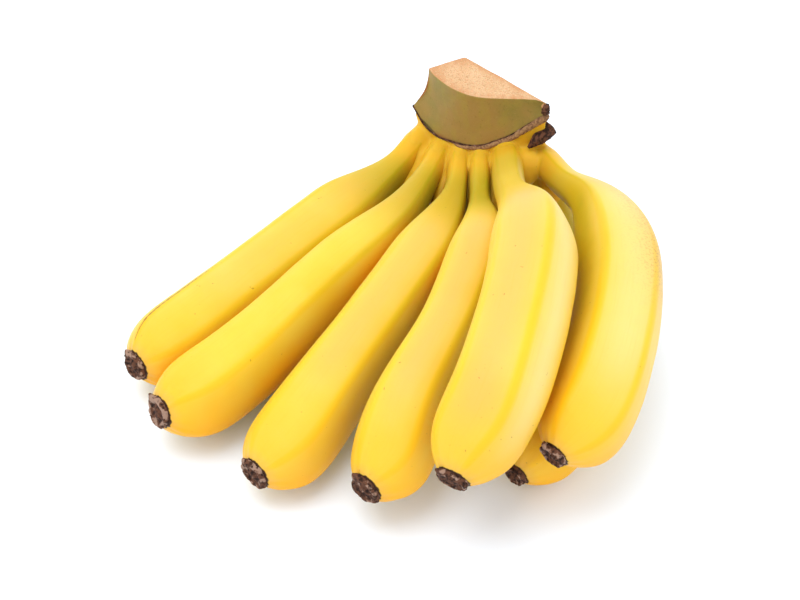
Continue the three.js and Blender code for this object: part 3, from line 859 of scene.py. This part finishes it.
def shapeRind(skinMaterial, cutMaterial):
    foot, cut = rindOutlines()
    sides, wallRows = len(foot), rindForm["rows"]
    wall = rindWall(foot, cut)
    middle = cut.mean(0)
    capShares = np.linspace(1, rindForm["capEnd"], rindForm["capRings"])[1:]
    top = np.vstack([middle + (wall[-sides:] - middle) * share for share in capShares])
    grain, grainSize = rindForm["grain"]
    top[:, 2] = sawnHeights(top) + grain * noiseAt(top, grainSize, 4, 3)
    points = np.vstack([wall, top])
    allRows = wallRows + len(capShares)
    piece = meshObject("crownRind", points * mm, loftFaces(allRows, sides))
    mesh = piece.data
    mesh.materials.append(skinMaterial)
    mesh.materials.append(cutMaterial)
    frontSides = crown["outlinePoints"][0]
    for face in mesh.polygons:
        row, column = divmod(face.index, sides)
        onTop = wallRows - 1 <= row < allRows - 1 or face.index == len(mesh.polygons) - 1
        onBack = row < wallRows - 1 and column >= frontSides
        face.material_index = 1 if onTop or onBack else 0
    lowest = foot[:, 2].min()
    storeFloats(mesh, "height", (points[:, 2] - lowest) / (crown["cutHeight"] - lowest))
    # hands leave it browner in the middle of the front and at the left corner
    frontShare = np.arange(sides) / frontSides
    handled = bump(frontShare, 0.5, 0.28) + 0.7 * bump(frontShare, 0.0, 0.12)
    storeFloats(mesh, "handled", np.tile(handled, allRows))
    fromMiddle = np.concatenate([np.ones(wallRows), capShares])
    storeFloats(mesh, "cutEdge", np.repeat(smoothStep(fromMiddle, 0.55, 1.0), sides))
    faceOutwards(mesh)
    return piece


def ledgeReach():  # the cushion's ledge past the rind's foot: none at the left, full at the right corner
    front, *others = crown["outlinePoints"]
    low, high = crown["ledge"]
    onFront = low + (high - low) * smoothStep(np.arange(front) / front, 0.25, 0.6)
    return np.concatenate([onFront, np.full(sum(others), low)])


fibreEnds = {
    "density": 1.8,  # how many stand on a square millimetre
    "size": (0.14, 0.30),
    "height": 0.12,
    "inset": 0.97,  # share of the cut face that they cover
    "rings": 14,
    "seed": 5,
}


def fibreTree():
    # little ends of the crown's fibres, scattered over the cut
    tree, given, end = newTree("fibreEnds", {"Density": "Float", "Smallest": "Float", "Largest": "Float",
                                             "Height": "Float", "Seed": "Int", "Material": "Material"})
    points = addNode(tree, "GeometryNodeDistributePointsOnFaces",
                     {"Mesh": given["Geometry"], "Density": given["Density"], "Seed": given["Seed"]})
    bead = addNode(tree, "GeometryNodeMeshIcoSphere", {"Radius": 1.0, "Subdivisions": 1})
    girth = addNode(tree, "FunctionNodeRandomValue",
                    {2: given["Smallest"], 3: given["Largest"], 8: given["Seed"]},
                    output=1, data_type="FLOAT")
    size = addNode(tree, "ShaderNodeCombineXYZ", {0: girth, 1: girth, 2: given["Height"]})
    beads = addNode(tree, "GeometryNodeInstanceOnPoints", {"Points": points, "Instance": bead, "Scale": size})
    finishTree(tree, beads, given["Material"], end)
    return tree


def scatterFibres(material):
    _, cut = rindOutlines()
    middle = cut.mean(0)
    shares = np.linspace(fibreEnds["inset"], rindForm["capEnd"], fibreEnds["rings"])
    points = np.vstack([middle + (cut - middle) * share for share in shares])
    points[:, 2] = sawnHeights(points)
    faces = loftFaces(len(shares), len(cut))[:-2]  # without the two end faces
    host = meshObject("cutFace", points * mm, faces)
    low, high = fibreEnds["size"]
    piece = growFrom(host, fibreTree(), "fibreEnds", {
        "Density": fibreEnds["density"] / mm ** 2, "Smallest": low * mm, "Largest": high * mm,
        "Height": fibreEnds["height"] * mm, "Seed": fibreEnds["seed"], "Material": material})
    faceOutwards(piece.data)
    return piece


def cushionRows():
    plan = outlineAround([(x, y, 0) for x, y in crown["cushionEdge"]])
    rows = []
    for height, size in crown["cushionRings"]:
        rows.append(cushionMiddle + (plan - cushionMiddle) * size + up * height + handShift)
    foot, _ = rindOutlines()
    ledge = foot + outwardNormals(foot) * ledgeReach()[:, None]
    rows.extend(ledge - up * depth for depth in crown["ledgeDepths"])
    rows.append(foot - up * crown["tuck"])
    return rows


def relax(mesh, values, times):  # averages a value or a place with its neighbours', over the mesh's edges
    pairs = np.zeros(len(mesh.edges) * 2, np.int32)
    mesh.edges.foreach_get("vertices", pairs)
    first, second = pairs.reshape(-1, 2).T
    count = np.bincount(pairs, minlength=len(mesh.vertices)).astype(float)
    count = count.reshape((-1,) + (1,) * (values.ndim - 1))
    for _ in range(times):
        total = np.zeros_like(values)
        np.add.at(total, first, values[second])
        np.add.at(total, second, values[first])
        values = 0.5 * values + 0.5 * total / count
    return values


def underRind(points):  # the height that the cushion must keep below, so that the rind's foot stays free
    foot, _ = rindOutlines()
    outward = outwardNormals(foot)
    nearest = np.argmin(((points[:, None, :2] - foot[None, :, :2]) ** 2).sum(2), axis=1)
    reach = ((points - foot[nearest]) * outward[nearest]).sum(1)
    below, start, slope = crown["headroom"]
    return foot[nearest, 2] - below + slope * np.maximum(0.0, reach - ledgeReach()[nearest] - start)


def cushionParts():
    # the body, a skirt round each stalk and the webs between them, as closed shells that overlap
    rows = cushionRows()
    shells = [(np.vstack(rows), loftFaces(len(rows), len(rows[0])))]
    angles = np.radians(np.arange(0, 360, 10))[None, :, None]

    def addTube(centre, lift, side):
        tube = centre[:, None] + lift[:, None] * np.cos(angles) + side[:, None] * np.sin(angles)
        shells.append((tube.reshape(-1, 3), loftFaces(len(centre), angles.size)))

    def stalkRings(fruit, reach):  # rings at millimetres along a fruit; those before its start run straight
        places, sizes = np.array(reach, float).T
        shares = np.maximum(0.0, places) / fruitForm["length"]
        return fruitSection(fruit, shares, np.minimum(0.0, places), sizes)[:3]

    for fruit in fruits:
        addTube(*stalkRings(fruit, crown["skirt"]))
    for web in crown["webs"]:
        for pair in web["between"]:
            one, other = (stalkRings(fruits[number - 1], web["reach"]) for number in pair)
            centre, lift, side = ((a + b) / 2 for a, b in zip(one, other))
            addTube(centre - np.outer(web["drop"], up), lift, side)
    points, faces = [], []
    for shellPoints, shellFaces in shells:
        faces.extend(tuple(len(points) + corner for corner in face) for face in shellFaces)
        points.extend(shellPoints)
    return np.array(points), faces


# Painted shade: brown deep in the cushion's clefts, under and between the stalks.
paintedCleftShade = {
    "strength": 0.85,
    "under": (2.5, 7.5),  # how far below a stalk's middle line it starts and is full
    "beside": (9, 17),  # how far from that line it is full and ends
    "along": (0.0, 0.22),  # over which share of the line's start it comes in
    "lineShare": 0.25,
    "linePoints": 26,
    "evening": 12,
}


def paintCushion(mesh, points):
    # mostly the plain tone of the skins' roots, and painted brown shade deep in the clefts between the stalks
    much = skinTones["strengths"]
    plain = {"ridgeWave": -1, "green": 0, "golden": much["goldenRoot"], "peach": 0, "pale": 0, "deep": 0,
             "blush": 0, "freckle": 0, "scarGap": noScar, "fromTip": 99, "neckDullnessAndShade": much["dullRoot"]}
    for name, value in plain.items():
        storeFloats(mesh, name, np.full(len(points), value))
    shares = np.linspace(0, paintedCleftShade["lineShare"], paintedCleftShade["linePoints"])
    lines = np.stack([alongCurve(fruitLine(fruit), shares) + handShift for fruit in fruits])
    gaps = points[:, None] / mm - lines.reshape(-1, 3)[None]
    nearest = np.argmin((gaps ** 2).sum(2), axis=1)
    gaps = gaps[np.arange(len(points)), nearest]
    outAlong = nearest % len(shares) / len(shares)
    close = 1 - smoothStep(np.linalg.norm(gaps, axis=1), *paintedCleftShade["beside"])
    # painted shade, strongest below and close to a stalk's middle line
    paintedShade = paintedCleftShade["strength"] * close * smoothStep(-gaps[:, 2], *paintedCleftShade["under"])
    paintedShade *= smoothStep(outAlong, *paintedCleftShade["along"])
    storeFloats(mesh, "paintedShade", relax(mesh, paintedShade, paintedCleftShade["evening"]))
    storeVectors(mesh, "straight", points)


def shapeCushion(peel):
    points, faces = cushionParts()
    host = meshObject("cushionParts", points * mm, faces)
    faceOutwards(host.data)
    remesh = host.modifiers.new("grownTogether", "REMESH")
    remesh.mode = "VOXEL"
    remesh.voxel_size = crown["voxel"] * mm
    piece = plainMesh(host, "crownCushion")
    mesh = piece.data
    before, after = crown["smoothing"]
    points = relax(mesh, readPoints(mesh), before)
    points[:, 2] = np.clip(points[:, 2], 0.0, underRind(points / mm) * mm)
    points = relax(mesh, points, after)
    writePoints(mesh, points)
    mesh.materials.clear()
    mesh.materials.append(peel)
    faceOutwards(mesh)
    paintCushion(mesh, points)
    return piece


rims = {
    "seamGirth": 0.42,  # the thin dried line round the rind's foot
    "seamPlace": (0.25, 0.1),  # how far out of the foot and above it
    "corkGirth": (0.9, 1.7),  # the cork rim thickens from its left end to the right corner
    "corkSpan": (0.36, 1.0),  # where it runs, as shares of the front
    "corkPlace": (0.6, 0.95),  # how far out of the foot, and how far below it as a share of the girth
    "sides": 14,
    "lumpHeight": 0.45,  # as a share of the girth
    "lumpSize": 1.6,
}


def rimTree():
    # a lumpy bead along a path whose points carry their own girth
    tree, given, end = newTree("driedRim", {"Sides": "Int", "Lump Height": "Float", "Lump Size": "Float",
                                            "Seed": "Float", "Material": "Material"})
    path = addNode(tree, "GeometryNodeMeshToCurve", {0: given["Geometry"]})
    girth = addNode(tree, "GeometryNodeInputNamedAttribute", {"Name": "girth"}, data_type="FLOAT")
    ring = addNode(tree, "GeometryNodeCurvePrimitiveCircle", {"Resolution": given["Sides"], "Radius": 1.0})
    tube = addNode(tree, "GeometryNodeCurveToMesh",
                   {"Curve": path, "Profile Curve": ring, "Scale": girth, "Fill Caps": True})
    scale = addNode(tree, "ShaderNodeMath", {0: 1.0, 1: given["Lump Size"]}, operation="DIVIDE")
    cloud = addNode(tree, "ShaderNodeTexNoise", {"W": given["Seed"], "Scale": scale, "Detail": 3.0},
                    noise_dimensions="4D")
    centred = addNode(tree, "ShaderNodeMath", {0: cloud, 1: 2.0, 2: -1.0}, operation="MULTIPLY_ADD")
    height = addNode(tree, "ShaderNodeMath", {0: given["Lump Height"], 1: girth}, operation="MULTIPLY")
    push = addNode(tree, "ShaderNodeMath", {0: centred, 1: height}, operation="MULTIPLY")
    facing = addNode(tree, "GeometryNodeInputNormal")
    lump = addNode(tree, "ShaderNodeVectorMath", {0: facing, "Scale": push}, operation="SCALE")
    moved = addNode(tree, "GeometryNodeSetPosition", {"Geometry": tube, "Offset": lump})
    finishTree(tree, moved, given["Material"], end)
    return tree


def layRim(tree, name, points, girths, closed, material, seed):
    edges = [(i, i + 1) for i in range(len(points) - 1)]
    if closed:
        edges.append((len(points) - 1, 0))
    host = meshObject(name + "Path", points * mm, (), edges)
    storeFloats(host.data, "girth", np.asarray(girths) * mm)
    piece = growFrom(host, tree, name, {
        "Sides": rims["sides"], "Lump Height": rims["lumpHeight"], "Lump Size": rims["lumpSize"] * mm,
        "Seed": seed, "Material": material})
    faceOutwards(piece.data)
    return piece


def layRims(dried, cork):
    tree = rimTree()
    foot, _ = rindOutlines()
    outward = outwardNormals(foot)
    out, above = rims["seamPlace"]
    girths = rims["seamGirth"] * (1 + 0.4 * noiseAt(foot, 5, 8))
    seam = layRim(tree, "driedSeam", foot + outward * out + up * above, girths, True, dried, 1.0)
    front = crown["outlinePoints"][0]
    first, last = (int(front * share) for share in rims["corkSpan"])
    steps = np.linspace(0, 1, last - first)
    thin, thick = rims["corkGirth"]
    girths = (thin + (thick - thin) * steps) * np.minimum(1, smoothStep(steps, -0.02, 0.1) + 0.1)
    girths *= np.minimum(1, 1 - smoothStep(steps, 0.95, 1.03) + 0.2)  # both ends run out thin
    out, below = rims["corkPlace"]
    corkPath = foot[first:last] + outward[first:last] * out - up * (girths * below)[:, None]
    rim = layRim(tree, "corkRim", corkPath, girths, False, cork, 2.0)
    return seam, rim


stumps = {
    "stalkStump": {  # a fruit was torn off here: a wedge that widens to its broken end
        "route": [(58.4, 83.4, 47.2), (63.0, 85.4, 50.8), (68.4, 89.8, 54.4)],
        "sizes": (0.5, 1.8, 2.8, 3.4, 3.5),  # half widths from its foot to its broken end
    },
    "cornerScrap": {  # a dried scrap on the right corner of the rind
        "route": [(64.9, 84.7, 65.4), (65.2, 84.5, 67.6), (65.4, 85.1, 70.2)],
        "sizes": (1.3, 1.7, 1.5, 1.0),
    },
}

stumpForm = {
    "sides": 40,
    "rows": 44,
    "closing": [(0, 0.05), (0, 0.6)],  # rings that close its foot: which row, share of its size
    "breaking": [(-1, 0.8), (-1, 0.55), (-1, 0.3), (-1, 0.05)],  # and its broken end
    "lumps": 0.16,
    "paleness": -3.0,  # it has none of the flower ends' papery patches
}


def shapeStump(name, dried):
    sides, count = stumpForm["sides"], stumpForm["rows"]
    dense = catmullRom(stumps[name]["route"])
    shares = np.linspace(0, 1, count)
    centre = alongCurve(dense, shares) + handShift
    along = unit(alongCurve(dense, shares + 1e-3) - alongCurve(dense, shares - 1e-3))
    side = unit(np.cross(up, along))
    lift = np.cross(along, side)
    given = stumps[name]["sizes"]
    sizes = np.interp(shares, np.linspace(0, 1, len(given)), given)
    angles = np.radians(np.arange(sides) * 360 / sides)
    square = 1 / (np.abs(np.cos(angles)) ** 4 + np.abs(np.sin(angles)) ** 4) ** 0.25  # a squarish section
    rows = []
    for i, shrink in stumpForm["closing"] + [(i, 1) for i in range(count)] + stumpForm["breaking"]:
        reach = sizes[i] * shrink * square
        section = np.outer(np.cos(angles) * reach, lift[i]) + np.outer(np.sin(angles) * reach, side[i])
        rows.append(centre[i] + section)
    points = np.vstack(rows)
    away = unit(points - np.repeat([row.mean(0) for row in rows], sides, axis=0) + 1e-6)
    stretched = points @ np.array([along[0], side[0] * 4, lift[0] * 4]).T  # creases run along it
    lumps = noiseAt(points, 2.6, 5, 3) + noiseAt(stretched, 5.0, 6, 2)
    points += away * (stumpForm["lumps"] * lumps)[:, None]
    piece = meshObject(name, points * mm, loftFaces(len(rows), sides))
    piece.data.materials.append(dried)
    storeFloats(piece.data, "pale", np.full(len(points), stumpForm["paleness"]))
    faceOutwards(piece.data)
    return piece


knob = {
    "sides": 84,
    # size as a share of the end's radius, and how far out it stands, from under the skin to the middle
    "profile": [(0.74, -1.6), (0.90, -0.6), (0.97, 0.1), (0.98, 0.7), (0.96, 1.3), (0.91, 1.9), (0.84, 2.3),
                (0.75, 2.1), (0.62, 1.5), (0.48, 1.2), (0.34, 1.5), (0.2, 2.0), (0.03, 2.1)],
    "rows": 52,
    "lumps": (0.4, 3.0),  # height and size of the lumps
    "crumbs": (0.2, 0.9),  # and of the crumbs on them
    "folds": 0.015,  # radial folds of the rim, as a share of the radius
    "papery": (0.9, 1.5, 1.0, 0.4, 0.6, 0.6, 0.2),  # how papery and pale each fruit's dried end is
    "hook": 2.8,  # the leftover of a sepal that stands out
    "hookWay": (-0.8, -0.1, 0.6),  # to the upper left
    "hookWidth": 0.26,  # half width in radians
    "scraps": 9,  # curled leftovers of sepals set on the rim
    "scrapSize": (0.3, 0.6),
    "scrapPaleness": -0.8,
}


def shapeKnob(fruit, number, dried):
    profile = catmullRom([(size, out, 0) for size, out in knob["profile"]])
    profile = alongCurve(profile * (fruit["tip"], 1, 1), np.linspace(0, 1, knob["rows"]))
    centre, lift, side, along = tipFrame(fruit)
    angles = np.radians(np.arange(knob["sides"]) * 360 / knob["sides"])
    hookWay = np.array(knob["hookWay"])
    hookAngle = math.atan2(hookWay @ unit(side), hookWay @ unit(lift))
    apart = np.abs((angles - hookAngle + math.pi) % math.tau - math.pi)
    spokes = np.outer(np.cos(angles), lift) + np.outer(np.sin(angles), side)
    # no two ends are out of round in the same way
    wobble = 1 + 0.05 * np.sin(2 * angles + number) + 0.035 * np.sin(3 * angles + 2.1 * number)
    wobble += 0.02 * np.sin(7 * angles + 1.3 * number)
    rows = []
    pale = []
    for size, out, _ in profile:
        share = size / fruit["tip"]
        rim = bump(share, 1.0, 0.16) * bump(out, 2.0, 1.8)
        hook = 1 + knob["hook"] / fruit["tip"] * rim * bump(apart, 0, knob["hookWidth"])
        fold = knob["folds"] * rim * (np.cos(11 * angles + number) + np.cos(5 * angles + 2.3 * number))
        section = spokes * (share * hook * wobble + fold)[:, None]
        rows.append(centre + section + along * (out + 6 * fold)[:, None])
        pale.append(knob["papery"][number - 1] * bump(share, 0.84, 0.24) - 0.5 * bump(share, 0.2, 0.4))
    points = np.vstack(rows)
    away = unit(points - centre - along)
    (lumps, lumpSize), (crumbs, crumbSize) = knob["lumps"], knob["crumbs"]
    rough = lumps * noiseAt(points, lumpSize, number, 3) + crumbs * noiseAt(points, crumbSize, number + 9, 2)
    points += away * rough[:, None]
    piece = meshObject(f"blossomEnd_{number}", points * mm, loftFaces(len(rows), knob["sides"]))
    piece.data.materials.append(dried)
    storeFloats(piece.data, "pale", np.repeat(pale, len(angles)))
    faceOutwards(piece.data)
    return piece


def scrapTree():
    # crumpled scraps of sepals: small cones strewn at odd angles on the given points
    tree, given, end = newTree("sepalScraps", {"Smallest": "Float", "Largest": "Float", "Seed": "Int",
                                               "Material": "Material"})
    points = addNode(tree, "GeometryNodeMeshToPoints", {"Mesh": given["Geometry"]})
    cone = addNode(tree, "GeometryNodeMeshCone",
                   {"Vertices": 7, "Radius Top": 0.25, "Radius Bottom": 0.8, "Depth": 1.6})
    size = addNode(tree, "FunctionNodeRandomValue",
                   {2: given["Smallest"], 3: given["Largest"], 8: given["Seed"]},
                   output=1, data_type="FLOAT")
    turn = addNode(tree, "FunctionNodeRandomValue",
                   {0: (-1.2, -1.2, 0.0), 1: (1.2, 1.2, 6.3), 8: given["Seed"]}, data_type="FLOAT_VECTOR")
    scraps = addNode(tree, "GeometryNodeInstanceOnPoints",
                     {"Points": points, "Instance": cone, "Rotation": turn, "Scale": size})
    finishTree(tree, scraps, given["Material"], end)
    return tree


def layScraps(fruit, number, tree, dried):
    centre, lift, side, along = tipFrame(fruit)
    steps = np.arange(knob["scraps"])
    angles = steps * math.tau / knob["scraps"] + 0.3 * np.sin(steps * 2.7 + number)
    spread = 0.86 + 0.07 * np.sin(steps * 1.9 + number)
    rim = np.outer(np.cos(angles) * spread, lift) + np.outer(np.sin(angles) * spread, side)
    points = centre + rim + np.outer(1.6 + 0.6 * np.sin(steps * 3.1), along)
    host = meshObject(f"sepalPoints_{number}", points * mm, ())
    low, high = knob["scrapSize"]
    piece = growFrom(host, tree, f"sepalScraps_{number}", {
        "Smallest": low * mm, "Largest": high * mm, "Seed": number, "Material": dried})
    storeFloats(piece.data, "pale", np.full(len(piece.data.vertices), knob["scrapPaleness"]))
    faceOutwards(piece.data)
    return piece


rindColours = {
    "dull": "#85783A",
    "handled": "#967941",
    "blotch": "#98893A",
    "fleck": "#A88B55",
    "vein": "#6E6328",
    "foot": "#8A5F36",
}


def dryRind():
    # skin of the bunch's stem, drying after the cut: dull olive, browner where it has been handled
    material, tree, shader = newMaterial("dryingStemRind")
    tone = rindColours
    handled, height = (addNode(tree, "ShaderNodeAttribute", output="Fac", attribute_name=name)
                       for name in ("handled", "height"))
    worn = addNode(tree, "ShaderNodeMath", {0: handled, 1: 0.35}, operation="MULTIPLY")
    browned = addNode(tree, "ShaderNodeMath", {0: grains(tree, 13, 3.0), 1: 0.7, 2: worn},
                      operation="MULTIPLY_ADD")
    colour = layColours(tree, linear(tone["dull"]), [
        (browned, (0.35, 0.72), 1.0, tone["handled"]),
        (grains(tree, 4, 3.0, (1, 1, 0.5)), (0.45, 0.7), 0.35, tone["blotch"]),
        (grains(tree, 0.8, 3.0), (0.60, 0.72), 0.35, tone["fleck"]),
        (grains(tree, 1.0, 3.0, (1, 1, 0.6)), (0.40, 0.28), 0.35, tone["vein"]),
        (height, (0.10, 0.0), 1.0, tone["foot"]),
    ])
    bark = addNode(tree, "ShaderNodeMath", {0: grains(tree, 2.2, 3.0), 1: grains(tree, 0.7, 3.0)},
                   operation="ADD")
    relief = addNode(tree, "ShaderNodeBump", {"Height": bark, "Strength": 0.35, "Distance": 0.12 * mm})
    feed(tree, shader, {"Base Color": colour, "Normal": relief, "Roughness": 0.6, "Specular IOR Level": 0.3})
    return material


cutColours = {
    "pith": "#CBA57C",
    "edge": "#BD895C",
    "streak": "#D2B38C",
    "grain": "#B57F52",
    "pit": "#96623C",
    "fibre": "#BE9168",
    "fibrePale": "#D3AF86",
}


def cutFlesh():
    # sawn crown flesh: pale fibrous pith that browns in air, matt and finely grained
    material, tree, shader = newMaterial("cutCrownFlesh")
    tone = cutColours
    nearEdge = addNode(tree, "ShaderNodeAttribute", output="Fac", attribute_name="cutEdge")
    grain = grains(tree, 0.55, 3.0)  # twice the real grain, which is too fine to show
    colour = layColours(tree, linear(tone["pith"]), [
        (nearEdge, None, 1.0, tone["edge"]),
        (grains(tree, 6, 3.0, (1, 0.4, 1)), (0.45, 0.62), 0.45, tone["streak"]),
        (grain, (0.50, 0.66), 0.55, tone["grain"]),
        (grains(tree, 0.4), (0.60, 0.72), 0.4, tone["pit"]),
    ])
    relief = addNode(tree, "ShaderNodeBump", {"Height": grain, "Strength": 0.6, "Distance": 0.18 * mm})
    feed(tree, shader, {"Base Color": colour, "Normal": relief, "Roughness": 0.85, "Subsurface Weight": 0.1,
                        "Subsurface Scale": 1.0 * mm})
    return material


def fibreFlesh():
    # ends of the crown's fibres: tougher and darker than the pith round them
    material, tree, shader = newMaterial("cutFibreEnds")
    colour = layColours(tree, linear(cutColours["fibre"]), [
        (grains(tree, 1.3), (0.40, 0.60), 1.0, cutColours["fibrePale"]),
    ])
    feed(tree, shader, {"Base Color": colour, "Roughness": 0.85})
    return material


scabColours = {"pit": "#6B4A31", "crumb": "#96704B", "worn": "#9C7A50"}


def corkScab():
    # healed cork along the torn edge: dry, crumbly, light brown with dark pits
    material, tree, shader = newMaterial("corkyScab")
    crumbs = grains(tree, 0.9, 4.0)
    colour = layColours(tree, linear(scabColours["pit"]), [
        (crumbs, (0.38, 0.62), 1.0, scabColours["crumb"]),
        (grains(tree, 3.5), (0.45, 0.7), 0.6, scabColours["worn"]),
    ])
    relief = addNode(tree, "ShaderNodeBump", {"Height": crumbs, "Strength": 0.9, "Distance": 0.4 * mm})
    feed(tree, shader, {"Base Color": colour, "Normal": relief, "Roughness": 0.9})
    return material


blossomColours = {"dark": "#24120B", "brown": "#5E3C2B", "papery": "#A08270"}


def driedBlossom():
    # withered flower parts: nearly black brown, with grey and tan papery patches
    material, tree, shader = newMaterial("driedBlossom")
    crumbs = grains(tree, 1.5, 4.0)
    pale = addNode(tree, "ShaderNodeAttribute", output="Fac", attribute_name="pale")
    papery = addNode(tree, "ShaderNodeMath", {0: pale, 1: 0.12, 2: grains(tree, 2.4, 3.0)},
                     operation="MULTIPLY_ADD")
    colour = layColours(tree, linear(blossomColours["dark"]), [
        (crumbs, (0.36, 0.60), 1.0, blossomColours["brown"]),
        (papery, (0.56, 0.68), 0.8, blossomColours["papery"]),
    ])
    relief = addNode(tree, "ShaderNodeBump", {"Height": crumbs, "Strength": 0.9, "Distance": 0.5 * mm})
    feed(tree, shader, {"Base Color": colour, "Normal": relief, "Roughness": 0.88,
                        "Specular IOR Level": 0.25})
    return material


def growCrown(peel, dried):
    keep(shapeRind(dryRind(), cutFlesh()), "rind", "crown_rind")
    keep(scatterFibres(fibreFlesh()), "rind")
    keep(shapeCushion(peel), "cushion", "crown_cushion")
    seam, rim = layRims(dried, corkScab())
    keep(seam, "dried")
    keep(rim, "cushion")
    keep(shapeStump("stalkStump", dried), "dried", "stalk_stump")
    keep(shapeStump("cornerScrap", dried), "dried")
    print("crown, its rims and the stump are shaped")


def growFlowerEnds(dried):
    tree = scrapTree()
    for number, fruit in enumerate(fruits, 1):
        keep(shapeKnob(fruit, number, dried), "dried", f"banana_{number}_tip")
        keep(layScraps(fruit, number, tree, dried), "dried")
    print("flower ends are shaped")


peel, dried = ripePeel(), driedBlossom()
growSkins(peel)
growCrown(peel, dried)
growFlowerEnds(dried)
